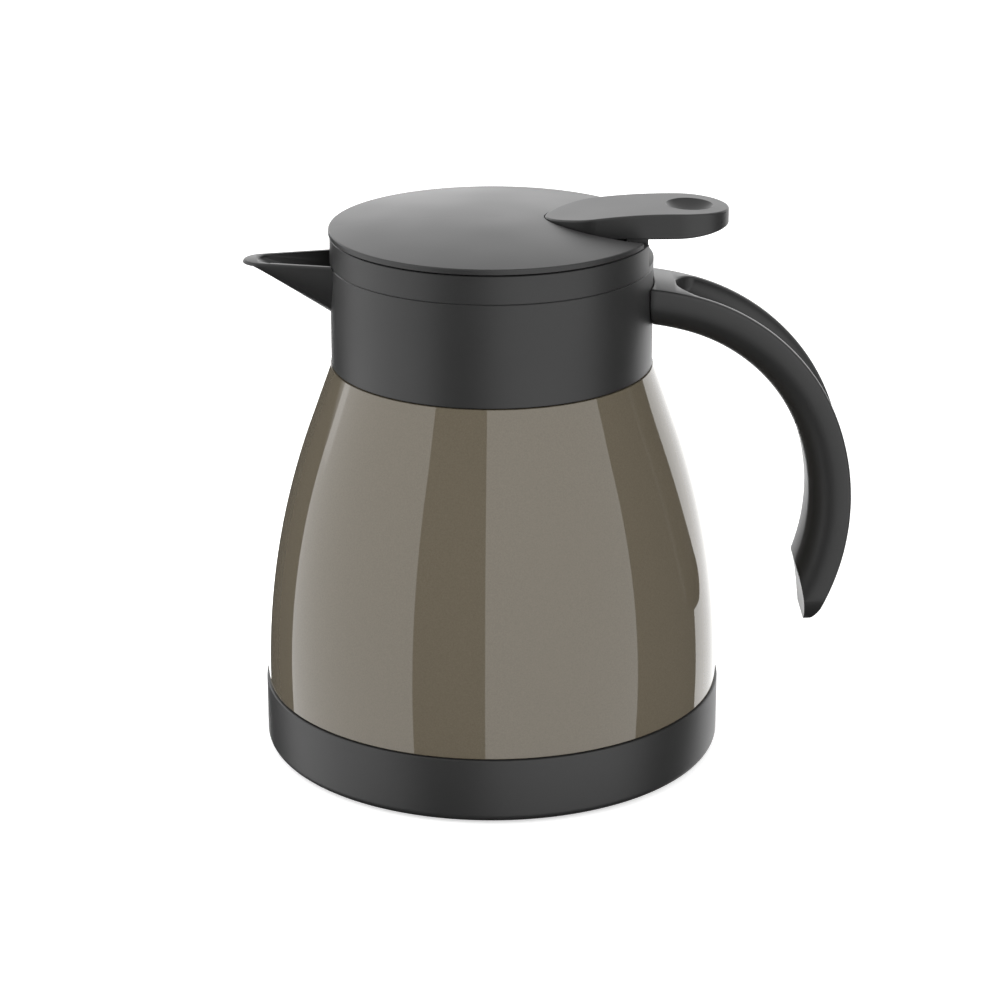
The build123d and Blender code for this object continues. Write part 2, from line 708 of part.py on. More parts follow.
def plug_foam():
    low = nose_height + cap_thickness + foam_clearance
    return post(0, 0, plug_bore - foam_clearance, low, boss_height - plug_plate - foam_clearance)


def plug_seal():
    # conical lip parallel to the chamfer of the mouth
    high = seal_low + seal_height
    inner = plug_radius + weld_gap
    lip = seat_radius + seal_drop - seal_clearance * sqrt(2)
    return turned((inner, seal_low), (lip, seal_low), (seal_radius, seal_low + seal_radius - lip),
                  (seal_radius, high), (inner, high))


def screw(x, y, radius, length, head_top):
    body = post(x, y, radius, head_top, head_top + length)
    return body + post(x, y, screw_head_radius, head_top - screw_head_height, head_top)


def lever_screws():
    pair = [screw(lever_screw_x, side * lever_screw_y, lever_screw_radius, lever_screw_length, boss_height)
            for side in (-1, 1)]
    return Compound(pair)


def plug_screws():
    return Compound([screw(x, y, plug_screw_radius, plug_screw_length, flange_low)
                     for x, y in plug_screw_places()])


# All pieces

def all_pieces():
    flask = liner()
    seam = Plane.XY.offset(liner_weld_height)
    return {
        "foot_ring": foot_ring(),
        "base_cup": base_cup(),
        "outer_shell": outer_shell(),
        "outer_bottom": outer_bottom(),
        "vacuum_seal": vacuum_seal(),
        "getter": getter(),
        "inner_flask": split(flask, bisect_by=seam, keep=Keep.TOP),
        "inner_bottom": split(flask, bisect_by=seam, keep=Keep.BOTTOM),
        "neck_gasket": ring(gasket_inner_radius, gasket_outer_radius, lip_height, floor_low),
        "collar": collar(),
        "handle": handle(),
        "lid_ring": lid_ring(),
        "hinge_pin": hinge_pin(),
        "return_spring": return_spring(),
        "lid_cover": lid_cover(),
        "thumb_lever": thumb_lever(),
        "lever_screws": lever_screws(),
        "lid_plug": lid_plug(),
        "plug_screws": plug_screws(),
        "plug_foam": plug_foam(),
        "plug_cap": plug_cap(),
        "plug_seal": plug_seal(),
    }


os.makedirs("parts", exist_ok=True)
for name, piece in all_pieces().items():
    export_step(piece, f"parts/{name}.step")
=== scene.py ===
import bmesh
import bpy
import json
import math
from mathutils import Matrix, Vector


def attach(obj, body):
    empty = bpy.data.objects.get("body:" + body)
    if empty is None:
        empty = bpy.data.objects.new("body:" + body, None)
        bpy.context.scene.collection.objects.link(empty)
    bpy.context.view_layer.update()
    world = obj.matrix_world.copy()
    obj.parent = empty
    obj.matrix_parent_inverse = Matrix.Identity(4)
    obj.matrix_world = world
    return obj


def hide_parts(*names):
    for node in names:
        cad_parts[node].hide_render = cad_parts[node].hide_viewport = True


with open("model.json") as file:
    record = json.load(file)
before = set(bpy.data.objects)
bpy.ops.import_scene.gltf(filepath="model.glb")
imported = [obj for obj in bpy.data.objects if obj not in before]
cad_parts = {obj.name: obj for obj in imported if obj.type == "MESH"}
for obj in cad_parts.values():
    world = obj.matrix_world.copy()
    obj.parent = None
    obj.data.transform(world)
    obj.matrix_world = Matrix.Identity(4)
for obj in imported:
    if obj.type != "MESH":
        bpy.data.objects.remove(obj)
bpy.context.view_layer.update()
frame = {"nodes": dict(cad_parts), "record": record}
mm = 0.001
nearby = 0.01 * mm       # two places this near count as one
creaseAngle = 35         # degrees from which an edge counts as sharp
print("frame loaded:", len(frame["nodes"]), "nodes")


# How shapes are worked on, as in the viewport

def clearSelection():
    if bpy.context.mode != "OBJECT":
        bpy.ops.object.mode_set(mode="OBJECT")
    bpy.ops.object.select_all(action="DESELECT")


def startOn(piece):
    clearSelection()
    piece.select_set(True)
    bpy.context.view_layer.objects.active = piece


def pick(kind, test):
    # in edit mode, selects the verts, edges or faces that pass a test
    bpy.ops.mesh.select_mode(type={"verts": "VERT", "edges": "EDGE", "faces": "FACE"}[kind])
    bpy.ops.mesh.select_all(action="DESELECT")
    mesh = bpy.context.edit_object.data
    editMesh = bmesh.from_edit_mesh(mesh)
    for element in getattr(editMesh, kind):
        if test(element):
            element.select_set(True)
    editMesh.select_flush_mode()
    bmesh.update_edit_mesh(mesh)


def runsAlong(edge, axis):
    run = edge.verts[0].co - edge.verts[1].co
    return abs(run[axis]) > 0.9 * run.length


def tidyMesh():
    # closes the seams, turns every face outwards and leaves the place in the mesh
    bpy.ops.mesh.select_all(action="SELECT")
    bpy.ops.mesh.remove_doubles(threshold=0.002 * mm)
    bpy.ops.mesh.normals_make_consistent(inside=False)
    bpy.ops.object.mode_set(mode="OBJECT")
    bpy.ops.object.transform_apply(location=True, rotation=True, scale=True)


def applyModifier(piece, kind, **settings):
    startOn(piece)
    step = piece.modifiers.new("step", kind)
    for key, value in settings.items():
        setattr(step, key, value)
    bpy.ops.object.modifier_apply(modifier=step.name)


def combine(piece, tool, operation):
    # cuts, joins or trims with a tool that is then thrown away
    applyModifier(piece, "BOOLEAN", operation=operation, solver="EXACT", object=tool)
    bpy.data.objects.remove(tool)
    bpy.ops.object.mode_set(mode="EDIT")
    bpy.ops.mesh.select_all(action="SELECT")
    bpy.ops.mesh.remove_doubles(threshold=nearby)
    bpy.ops.object.mode_set(mode="OBJECT")


def isSharp(edge, degrees=creaseAngle):
    return edge.is_manifold and edge.calc_face_angle() > math.radians(degrees)


def bevelWhere(piece, test, width, segments):
    # rounds the edges that pass a test
    startOn(piece)
    bpy.ops.object.mode_set(mode="EDIT")
    pick("edges", test)
    bpy.ops.mesh.bevel(offset=width * mm, segments=segments)
    bpy.ops.object.mode_set(mode="OBJECT")


def cornerRings(radius, height, bend, startAngle, endAngle, steps=6):
    # (radius, height) pairs round a corner; angles in degrees up from straight outwards
    turns = [math.radians(startAngle + (endAngle - startAngle) * i / steps) for i in range(steps + 1)]
    return [(radius + bend * math.cos(turn), height + bend * math.sin(turn)) for turn in turns]


def turnOnAxis(name, profile, sides=192, filled=False):
    # pulls a circle through (radius, height) pairs in mm, as a lathe would trace them
    clearSelection()
    radius, height = profile[0]
    bpy.ops.mesh.primitive_circle_add(vertices=sides, radius=radius * mm, location=(0, 0, height * mm),
                                      fill_type="TRIFAN" if filled else "NOTHING")
    piece = bpy.context.object
    piece.name = name
    bpy.ops.object.mode_set(mode="EDIT")
    bpy.ops.mesh.select_all(action="SELECT")
    for nextRadius, nextHeight in profile[1:]:
        bpy.ops.mesh.extrude_region_move(
            TRANSFORM_OT_translate={"value": (0, 0, (nextHeight - height) * mm)})
        share = nextRadius / radius
        bpy.ops.transform.resize(value=(share, share, 1), center_override=(0, 0, 0))
        radius, height = nextRadius, nextHeight
    tidyMesh()
    return piece


def post(radius, low, high, sides=256):
    clearSelection()
    bpy.ops.mesh.primitive_cylinder_add(vertices=sides, radius=radius * mm, depth=(high - low) * mm,
                                        location=(0, 0, (low + high) / 2 * mm))
    return bpy.context.object


def block(low, high):
    # a box between two corners in mm
    clearSelection()
    bpy.ops.mesh.primitive_cube_add(size=1, location=[(a + b) / 2 * mm for a, b in zip(low, high)])
    box = bpy.context.object
    box.scale = [(b - a) * mm for a, b in zip(low, high)]
    bpy.ops.object.transform_apply(location=True, rotation=True, scale=True)
    return box


def finishPiece(piece, body, nodeName, finish):
    # smooth faces, a material, and the node that the piece stands for
    startOn(piece)
    bpy.ops.object.shade_smooth_by_angle(angle=math.radians(creaseAngle))
    piece.data.materials.clear()
    piece.data.materials.append(finish)
    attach(piece, body)
    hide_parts(nodeName)
    print("modelled", piece.name)


# Materials

def hexColour(text):
    # sRGB hex to the linear colour that a shader socket takes
    channels = [int(text[i:i + 2], 16) / 255 for i in (1, 3, 5)]
    return [c / 12.92 if c <= 0.04045 else ((c + 0.055) / 1.055) ** 2.4 for c in channels] + [1.0]


def addNode(tree, kind, settings=None, links=None):
    # a node with its properties, socket values and incoming links; a colour mix takes its share
    # at socket 0 and its two colours at 6 and 7, and gives the result at output 2
    node = tree.nodes.new(kind)
    for key, value in (settings or {}).items():
        if isinstance(key, str) and key in node.bl_rna.properties:
            setattr(node, key, value)
        else:
            node.inputs[key].default_value = value
    for key, source in (links or {}).items():
        tree.links.new(source, node.inputs[key])
    return node


def newMaterial(name):
    material = bpy.data.materials.new(name)
    material.use_nodes = True
    material.node_tree.nodes.clear()
    return material, material.node_tree


noiseSpan = {"From Min": 0.3, "From Max": 0.7}    # where most values of a noise texture lie

lacquer = {
    "dark": "#5D5649",
    "light": "#635C4F",
    "flake": 0.35,            # mm; the flakes are nearer 0.03 mm, drawn coarse enough to show
    "roughness": 0.42,
    "coatRoughness": 0.015,
    "peelWave": 3.0,          # mm between the crests of the orange peel
    "peelDepth": 0.0004,      # mm
}


def lacqueredSteel():
    # metallic stoving lacquer, sprayed on drawn steel and baked: a warm grey body under a clear
    # coat that mirrors the room sharply, with a trace of orange peel
    material, tree = newMaterial("lacqueredSteel")
    place = addNode(tree, "ShaderNodeTexCoord")
    flakes = addNode(tree, "ShaderNodeTexNoise", {"Scale": 1 / (lacquer["flake"] * mm), "Detail": 2.0},
                     {"Vector": place.outputs["Object"]})
    spread = addNode(tree, "ShaderNodeMapRange", noiseSpan, {"Value": flakes.outputs["Fac"]})
    tint = addNode(tree, "ShaderNodeMix",
                   {"data_type": "RGBA", 6: hexColour(lacquer["dark"]), 7: hexColour(lacquer["light"])},
                   {0: spread.outputs["Result"]})
    peel = addNode(tree, "ShaderNodeTexNoise", {"Scale": 1 / (lacquer["peelWave"] * mm), "Detail": 0.0},
                   {"Vector": place.outputs["Object"]})
    relief = addNode(tree, "ShaderNodeBump", {"Strength": 1.0, "Distance": lacquer["peelDepth"] * mm},
                     {"Height": peel.outputs["Fac"]})
    shader = addNode(tree, "ShaderNodeBsdfPrincipled",
                     {"Roughness": lacquer["roughness"], "IOR": 1.5, "Specular IOR Level": 0.0,
                      "Coat Weight": 1.0, "Coat Roughness": lacquer["coatRoughness"], "Coat IOR": 1.5},
                     {"Base Color": tint.outputs[2], "Coat Normal": relief.outputs[0]})
    addNode(tree, "ShaderNodeOutputMaterial", links={"Surface": shader.outputs[0]})
    return material


plastic = {
    "dark": "#212121",
    "light": "#252525",
    "roughness": 0.42,
    "specular": 0.36,
    "grain": 0.25,            # mm between the pits of the eroded mould, drawn twice as coarse
    "grainDepth": 0.0016,     # mm
    "flow": 22,               # mm over which the sheen wanders as the melt flowed
    "wander": 0.02,           # in roughness, to either side
}


def mouldedPolypropylene(name="mouldedPolypropylene", roughness=plastic["roughness"]):
    # polypropylene, injection moulded against a finely spark-eroded tool: near black, satin,
    # with soft wide reflections and a very fine grain
    material, tree = newMaterial(name)
    place = addNode(tree, "ShaderNodeTexCoord")
    grain = addNode(tree, "ShaderNodeTexNoise", {"Scale": 1 / (plastic["grain"] * mm), "Detail": 3.0},
                    {"Vector": place.outputs["Object"]})
    flow = addNode(tree, "ShaderNodeTexNoise", {"Scale": 1 / (plastic["flow"] * mm), "Detail": 1.0},
                   {"Vector": place.outputs["Object"]})
    tint = addNode(tree, "ShaderNodeMix",
                   {"data_type": "RGBA", 6: hexColour(plastic["dark"]), 7: hexColour(plastic["light"])},
                   {0: grain.outputs["Fac"]})
    wander = plastic["wander"]
    sheen = addNode(tree, "ShaderNodeMapRange",
                    {**noiseSpan, "To Min": roughness - wander, "To Max": roughness + wander},
                    {"Value": flow.outputs["Fac"]})
    relief = addNode(tree, "ShaderNodeBump", {"Strength": 1.0, "Distance": plastic["grainDepth"] * mm},
                     {"Height": grain.outputs["Fac"]})
    shader = addNode(tree, "ShaderNodeBsdfPrincipled",
                     {"IOR": 1.5, "Specular IOR Level": plastic["specular"]},
                     {"Base Color": tint.outputs[2], "Roughness": sheen.outputs["Result"],
                      "Normal": relief.outputs[0]})
    addNode(tree, "ShaderNodeOutputMaterial", links={"Surface": shader.outputs[0]})
    return material


steel = {
    "colour": "#C9C8C4",
    "roughness": 0.28,
    "wander": (0.88, 1.12),   # shares of the roughness between which the lines vary
    "line": 0.4,              # mm between the brush lines, drawn several times as coarse
    "stretch": 0.02,          # a line's height against its length round the steel
    "lineDepth": 0.0003,      # mm
}


def brushedStainless():
    # 18/8 stainless, deep drawn and then brushed while it turns: a grey mirror drawn out into
    # fine level lines
    material, tree = newMaterial("brushedStainless")
    place = addNode(tree, "ShaderNodeTexCoord")
    lines = addNode(tree, "ShaderNodeMapping", {"Scale": (steel["stretch"], steel["stretch"], 1.0)},
                    {"Vector": place.outputs["Object"]})
    streaks = addNode(tree, "ShaderNodeTexNoise", {"Scale": 1 / (steel["line"] * mm), "Detail": 3.0},
                      {"Vector": lines.outputs[0]})
    low, high = [steel["roughness"] * share for share in steel["wander"]]
    spread = addNode(tree, "ShaderNodeMapRange", {**noiseSpan, "To Min": low, "To Max": high},
                     {"Value": streaks.outputs["Fac"]})
    relief = addNode(tree, "ShaderNodeBump", {"Strength": 1.0, "Distance": steel["lineDepth"] * mm},
                     {"Height": streaks.outputs["Fac"]})
    shader = addNode(tree, "ShaderNodeBsdfPrincipled",
                     {"Base Color": hexColour(steel["colour"]), "Metallic": 1.0},
                     {"Roughness": spread.outputs["Result"], "Normal": relief.outputs[0]})
    addNode(tree, "ShaderNodeOutputMaterial", links={"Surface": shader.outputs[0]})
    return material


metalWander = (0.7, 1.3)      # shares of the roughness between which the patches vary


def wornMetal(name, colour, roughness, grain):
    # small metal parts, drawn, ground or plated: an even grey whose sheen wanders a little;
    # grain is the mm between its patches
    material, tree = newMaterial(name)
    place = addNode(tree, "ShaderNodeTexCoord")
    patches = addNode(tree, "ShaderNodeTexNoise", {"Scale": 1 / (grain * mm), "Detail": 3.0},
                      {"Vector": place.outputs["Object"]})
    low, high = [roughness * share for share in metalWander]
    spread = addNode(tree, "ShaderNodeMapRange", {**noiseSpan, "To Min": low, "To Max": high},
                     {"Value": patches.outputs["Fac"]})
    shader = addNode(tree, "ShaderNodeBsdfPrincipled", {"Base Color": hexColour(colour), "Metallic": 1.0},
                     {"Roughness": spread.outputs["Result"]})
    addNode(tree, "ShaderNodeOutputMaterial", links={"Surface": shader.outputs[0]})
    return material


silicone = {
    "dark": "#272727",
    "light": "#313131",
    "roughness": 0.62,
    "bloom": 3,               # mm between the dusty patches
}


def mouldedSilicone():
    # silicone rubber, compression moulded: dull dark grey with a dusty bloom
    material, tree = newMaterial("mouldedSilicone")
    place = addNode(tree, "ShaderNodeTexCoord")
    bloom = addNode(tree, "ShaderNodeTexNoise", {"Scale": 1 / (silicone["bloom"] * mm), "Detail": 4.0},
                    {"Vector": place.outputs["Object"]})
    tint = addNode(tree, "ShaderNodeMix",
                   {"data_type": "RGBA", 6: hexColour(silicone["dark"]), 7: hexColour(silicone["light"])},
                   {0: bloom.outputs["Fac"]})
    shader = addNode(tree, "ShaderNodeBsdfPrincipled", {"Roughness": silicone["roughness"], "IOR": 1.41},
                     {"Base Color": tint.outputs[2]})
    addNode(tree, "ShaderNodeOutputMaterial", links={"Surface": shader.outputs[0]})
    return material


foam = {
    "middle": "#EFECE4",
    "border": "#D2CEC3",
    "roughness": 0.85,
    "cell": 0.8,              # mm across a cell
    "cellDepth": 0.1,         # mm
    "relief": 0.6,
}


def closedCellFoam():
    # polyethylene foam, blown and die cut: off-white and matt, with small round cells
    material, tree = newMaterial("closedCellFoam")
    place = addNode(tree, "ShaderNodeTexCoord")
    cells = addNode(tree, "ShaderNodeTexVoronoi", {"Scale": 1 / (foam["cell"] * mm)},
                    {"Vector": place.outputs["Object"]})
    tint = addNode(tree, "ShaderNodeMix",
                   {"data_type": "RGBA", 6: hexColour(foam["middle"]), 7: hexColour(foam["border"])},
                   {0: cells.outputs["Distance"]})
    relief = addNode(tree, "ShaderNodeBump",
                     {"Strength": foam["relief"], "Distance": foam["cellDepth"] * mm},
                     {"Height": cells.outputs["Distance"]})
    shader = addNode(tree, "ShaderNodeBsdfPrincipled", {"Roughness": foam["roughness"], "IOR": 1.5},
                     {"Base Color": tint.outputs[2], "Normal": relief.outputs[0]})
    addNode(tree, "ShaderNodeOutputMaterial", links={"Surface": shader.outputs[0]})
    return material


finishes = {
    "jacket_paint": lacqueredSteel(),
    "black_plastic": mouldedPolypropylene(),
    "plug_plastic": mouldedPolypropylene("polishedPolypropylene", 0.3),    # smoother mould, tighter shine
    "stainless": brushedStainless(),
    "getter_metal": wornMetal("sinteredGetter", "#A9A59C", 0.55, 0.3),     # pressed powder, dull grey
    "seal_metal": wornMetal("brazedSeal", "#B3ABA0", 0.45, 0.8),           # warm grey, half matt
    "seal_rubber": mouldedSilicone(),
    "foam": closedCellFoam(),
    "pin_steel": wornMetal("groundSteel", "#D0D0CE", 0.18, 1.2),           # bright, nearly a mirror
    "spring_steel": wornMetal("drawnSpringWire", "#BDBDBB", 0.25, 0.6),    # mid grey, clean shine
    "screw_steel": wornMetal("zincPlatedSteel", "#C4C6C8", 0.32, 0.5),     # faintly blue, soft shine
}

slotOf = {row["node"]: row["material_slot"] for row in frame["record"]["subparts"]}
for nodeName, node in frame["nodes"].items():
    node.data.materials.clear()
    node.data.materials.append(finishes[slotOf[nodeName]])
print("finishes on the frame")


# Room, floor and camera

studio = {
    # panels of light round the object, as degrees to the right of the camera's side and a level
    "panels": [(-180, 3.6), (-164, 0.05), (-124, 2.0), (-41.6, 0.05), (-4.6, 2.0), (77, 0.05), (126, 2.0),
               (172, 0.05)],
    "panelFoot": (-0.68, -0.5),    # sine of the angle below the horizon at which the panels end
    "underPanels": 0.05,
    # wall behind the object, as the sine of its height and a level
    "back": [(0.0, 3.9), (0.17, 2.8), (0.34, 1.85), (0.5, 1.35), (0.75, 1.1)],
    "backFoot": (-0.02, 0.1),      # sines between which the wall fades in
    "backStart": 0.45,             # how far behind a direction has to point to meet the wall
    "overhead": 1.1,
    "overheadFoot": (0.75, 0.85),  # sines between which the light overhead fades in
}


def evenGrey(level):
    return (level, level, level, 1)


def setStops(ramp, stops):
    while len(ramp.elements) > 1:
        ramp.elements.remove(ramp.elements[-1])
    for index, (place, level) in enumerate(stops):
        stop = ramp.elements[0] if index == 0 else ramp.elements.new(place)
        stop.position = place
        stop.color = evenGrey(level)


def studioRoom():
    world = bpy.data.worlds.new("studio")
    bpy.context.scene.world = world
    world.use_nodes = True
    tree = world.node_tree
    tree.nodes.clear()
    place = addNode(tree, "ShaderNodeTexCoord")
    parts = addNode(tree, "ShaderNodeSeparateXYZ", links={0: place.outputs["Generated"]})
    toCamera = addNode(tree, "ShaderNodeMath", {"operation": "MULTIPLY", 1: -1.0}, {0: parts.outputs["Y"]})
    heading = addNode(tree, "ShaderNodeMath", {"operation": "ARCTAN2"},
                      {0: parts.outputs["X"], 1: toCamera.outputs[0]})
    share = addNode(tree, "ShaderNodeMapRange", {"From Min": -math.pi, "From Max": math.pi},
                    {"Value": heading.outputs[0]})
    panels = addNode(tree, "ShaderNodeValToRGB", links={0: share.outputs["Result"]})
    panels.color_ramp.interpolation = "CONSTANT"
    setStops(panels.color_ramp, [((degrees + 180) / 360, level) for degrees, level in studio["panels"]])
    low, high = studio["panelFoot"]
    above = addNode(tree, "ShaderNodeMapRange", {"From Min": low, "From Max": high},
                    {"Value": parts.outputs["Z"]})
    panelLight = addNode(tree, "ShaderNodeMix", {"data_type": "RGBA", 6: evenGrey(studio["underPanels"])},
                         {0: above.outputs["Result"], 7: panels.outputs[0]})
    wall = addNode(tree, "ShaderNodeValToRGB", links={0: parts.outputs["Z"]})
    setStops(wall.color_ramp, studio["back"])
    low, high = studio["backFoot"]
    raised = addNode(tree, "ShaderNodeMapRange", {"From Min": low, "From Max": high},
                     {"Value": parts.outputs["Z"]})
    behind = addNode(tree, "ShaderNodeMath", {"operation": "GREATER_THAN", 1: studio["backStart"]},
                     {0: parts.outputs["Y"]})
    onWall = addNode(tree, "ShaderNodeMath", {"operation": "MULTIPLY"},
                     {0: behind.outputs[0], 1: raised.outputs["Result"]})
    withWall = addNode(tree, "ShaderNodeMix", {"data_type": "RGBA"},
                       {0: onWall.outputs[0], 6: panelLight.outputs[2], 7: wall.outputs[0]})
    low, high = studio["overheadFoot"]
    top = addNode(tree, "ShaderNodeMapRange", {"From Min": low, "From Max": high},
                  {"Value": parts.outputs["Z"]})
    withTop = addNode(tree, "ShaderNodeMix", {"data_type": "RGBA", 7: evenGrey(studio["overhead"])},
                      {0: top.outputs["Result"], 6: withWall.outputs[2]})
    path = addNode(tree, "ShaderNodeLightPath")
    seen = addNode(tree, "ShaderNodeMix", {"data_type": "RGBA", 7: evenGrey(1)},
                   {0: path.outputs["Is Camera Ray"], 6: withTop.outputs[2]})
    light = addNode(tree, "ShaderNodeBackground", links={"Color": seen.outputs[2]})
    addNode(tree, "ShaderNodeOutputWorld", links={"Surface": light.outputs[0]})


ground = {
    "size": 6.0,            # metres
    "grey": 0.82,
    "lift": 0.55,           # glow for the camera alone, so that the floor runs out into the room
}


def paleFloor():
    # matt white board: an even pale ground, left out of sharp reflections
    clearSelection()
    bpy.ops.mesh.primitive_plane_add(size=ground["size"], location=(0, 0, 0))
    floor = bpy.context.object
    floor.name = "floor"
    material, tree = newMaterial("paleFloor")
    diffuse = addNode(tree, "ShaderNodeBsdfDiffuse", {"Color": evenGrey(ground["grey"])})
    lift = addNode(tree, "ShaderNodeEmission", {"Color": evenGrey(1), "Strength": ground["lift"]})
    path = addNode(tree, "ShaderNodeLightPath")
    both = addNode(tree, "ShaderNodeAddShader", links={0: diffuse.outputs[0], 1: lift.outputs[0]})
    clear = addNode(tree, "ShaderNodeBsdfTransparent")
    shown = addNode(tree, "ShaderNodeMixShader",
                    links={0: path.outputs["Is Camera Ray"], 1: diffuse.outputs[0], 2: both.outputs[0]})
    whole = addNode(tree, "ShaderNodeMixShader",
                    links={0: path.outputs["Is Glossy Ray"], 1: shown.outputs[0], 2: clear.outputs[0]})
    addNode(tree, "ShaderNodeOutputMaterial", links={"Surface": whole.outputs[0]})
    floor.data.materials.append(material)


view = {
    "turn": 0.8,            # degrees that the handle leans away from the picture plane
    "back": 761.17,         # camera from the axis, in mm
    "height": 340.69,
    "pitch": 0.347264,      # down, in radians
    "yaw": 0.0027833,       # to the right
    "lens": 111.07,
    "sensor": 36,
    "clip": 0.01,           # metres
}


def addCamera():
    turn = math.radians(view["turn"])
    data = bpy.data.cameras.new("camera")
    camera = bpy.data.objects.new("camera", data)
    bpy.context.scene.collection.objects.link(camera)
    data.lens = view["lens"]
    data.sensor_width = view["sensor"]
    data.clip_start = view["clip"]
    camera.location = (-view["back"] * math.sin(turn) * mm, -view["back"] * math.cos(turn) * mm,
                       view["height"] * mm)
    heading, pitch = view["yaw"] + turn, view["pitch"]
    forward = Vector((math.sin(heading) * math.cos(pitch), math.cos(heading) * math.cos(pitch),
                      -math.sin(pitch)))
    camera.rotation_euler = forward.to_track_quat("-Z", "Y").to_euler()
    bpy.context.scene.camera = camera


studioRoom()
paleFloor()
addCamera()
bpy.context.scene.view_settings.view_transform = "Standard"
print("room, floor and camera")


# Steel jacket

jacketShape = {
    "foot": (58.2, 5.0),          # inside the base cup; radius and height in mm
    "step": (59.4, 17.7),         # rests on the cup's rim
    "stepChamfer": 0.25,
    "bodyStart": 18.8,
    "bodyBend": 202.0,            # radius of the bulging side
    "bodyTurn": 19.8,             # degrees of it
    "shoulder": (41.56, 103.6),
    "neckFillet": 0.4,            # between the shoulder's end and the neck
    "neck": (38.4, 111.6),
    "neckBend": 4.0,
    "mouth": (28.75, 115.6),
    "sheet": 0.7,
}


def makeJacket():
    s = jacketShape
    stepRadius, stepHeight = s["step"]
    shoulder, neck, bend, sheet = s["shoulder"], s["neck"], s["neckBend"], s["sheet"]
    chamfer, fillet = s["stepChamfer"], s["neckFillet"]
    profile = [s["foot"], (s["foot"][0], stepHeight), (stepRadius - chamfer, stepHeight),
               (stepRadius, stepHeight + chamfer)]
    profile += cornerRings(stepRadius - s["bodyBend"], s["bodyStart"], s["bodyBend"], 0, s["bodyTurn"], 24)
    profile += [shoulder, (neck[0] + fillet, shoulder[1])]
    profile += cornerRings(neck[0] + fillet, shoulder[1] + fillet, fillet, -90, -180, 2)[1:]
    profile += cornerRings(neck[0] - bend, neck[1], bend, 0, 90, 8)
    profile += [s["mouth"]]
    jacket = turnOnAxis("jacket", profile, sides=256)
    applyModifier(jacket, "SOLIDIFY", thickness=sheet * mm, offset=-1.0, use_even_offset=True)
    finishPiece(jacket, "carafe", "outer_shell", finishes["jacket_paint"])


makeJacket()


# Base cup

cupShape = {
    "low": 0.5,
    "radius": 60.0,
    "high": 17.6,
    "bottomBend": 2.2,
    "rimBend": 0.3,
    "wall": 1.6,
    "floor": 2.7,
    "floorBend": 2.0,
    "groove": (42.9, 51.1, 1.7),      # radii and roof of the foot ring's groove
}


def makeBaseCup():
    s = cupShape
    inner, outer, roof = s["groove"]
    low, high, radius = s["low"], s["high"], s["radius"]
    inside = radius - s["wall"]
    profile = [(inner, low), (inner, roof), (outer, roof), (outer, low)]
    profile += cornerRings(radius - s["bottomBend"], low + s["bottomBend"], s["bottomBend"], -90, 0, 8)
    profile += cornerRings(radius - s["rimBend"], high - s["rimBend"], s["rimBend"], 0, 90, 4)
    profile += [(inside, high)]
    profile += cornerRings(inside - s["floorBend"], s["floor"] + s["floorBend"], s["floorBend"], 0, -90, 6)
    cup = turnOnAxis("baseCup", profile, sides=256, filled=True)
    finishPiece(cup, "carafe", "base_cup", finishes["black_plastic"])


makeBaseCup()


# Collar and spout

collarShape = {
    "radius": 41.3,
    "low": 103.8,
    "high": 130.3,
    "bore": 39.1,
    "neckBore": 38.7,
    "floor": (116.6, 118.8),
    "seat": (28.3, 1.2),          # radius and chamfer of the plug's seat
    "seam": 0.2,
    "tongueSlot": (8.1, 116.8, 123.0),    # half width, low and high of the handle's slot
}

spoutShape = {
    "root": 36.9,                 # distances from the axis, in mm
    "reach": 63.4,
    "halfWidth": 9.3,             # at the collar's face
    "sideAngle": 13.0,
    "rim": 131.05,
    "depth": 13.85,               # at the collar's face
    "slope": 32.4,
    "lip": 0.8,
    "edge": 0.6,
    "innerEdge": 0.5,
    "wall": 1.5,
    "floorWall": 1.8,
    "channelReach": 59.4,
}


def spoutHull(inset, drop, thickness):
    # half ellipse under the rim, drawn out towards the tip
    s = spoutShape
    narrow, fall = math.tan(math.radians(s["sideAngle"])), math.tan(math.radians(s["slope"]))
    face = collarShape["radius"]
    end = face + (s["depth"] - drop - thickness) / fall
    halves = [s["halfWidth"] - narrow * (x - face) - inset for x in (s["root"], end)]
    depths = [s["depth"] - fall * (x - face) - drop for x in (s["root"], end)]
    clearSelection()
    bpy.ops.mesh.primitive_circle_add(vertices=96, radius=1, fill_type="NGON",
                                      rotation=(0, -math.pi / 2, 0),
                                      location=(-s["root"] * mm, 0, s["rim"] * mm))
    hull = bpy.context.object
    hull.scale = (depths[0] * mm, halves[0] * mm, 1)
    bpy.ops.object.transform_apply(location=True, rotation=True, scale=True)
    bpy.ops.object.mode_set(mode="EDIT")
    bpy.ops.mesh.select_all(action="SELECT")
    bpy.ops.mesh.bisect(plane_co=(0, 0, s["rim"] * mm), plane_no=(0, 0, 1), clear_outer=True,
                        use_fill=False)
    bpy.ops.mesh.select_all(action="SELECT")
    bpy.ops.mesh.extrude_region_move(TRANSFORM_OT_translate={"value": ((s["root"] - end) * mm, 0, 0)})
    bpy.ops.transform.resize(value=(1, halves[1] / halves[0], depths[1] / depths[0]),
                             center_override=(-end * mm, 0, s["rim"] * mm))
    tidyMesh()
    return hull


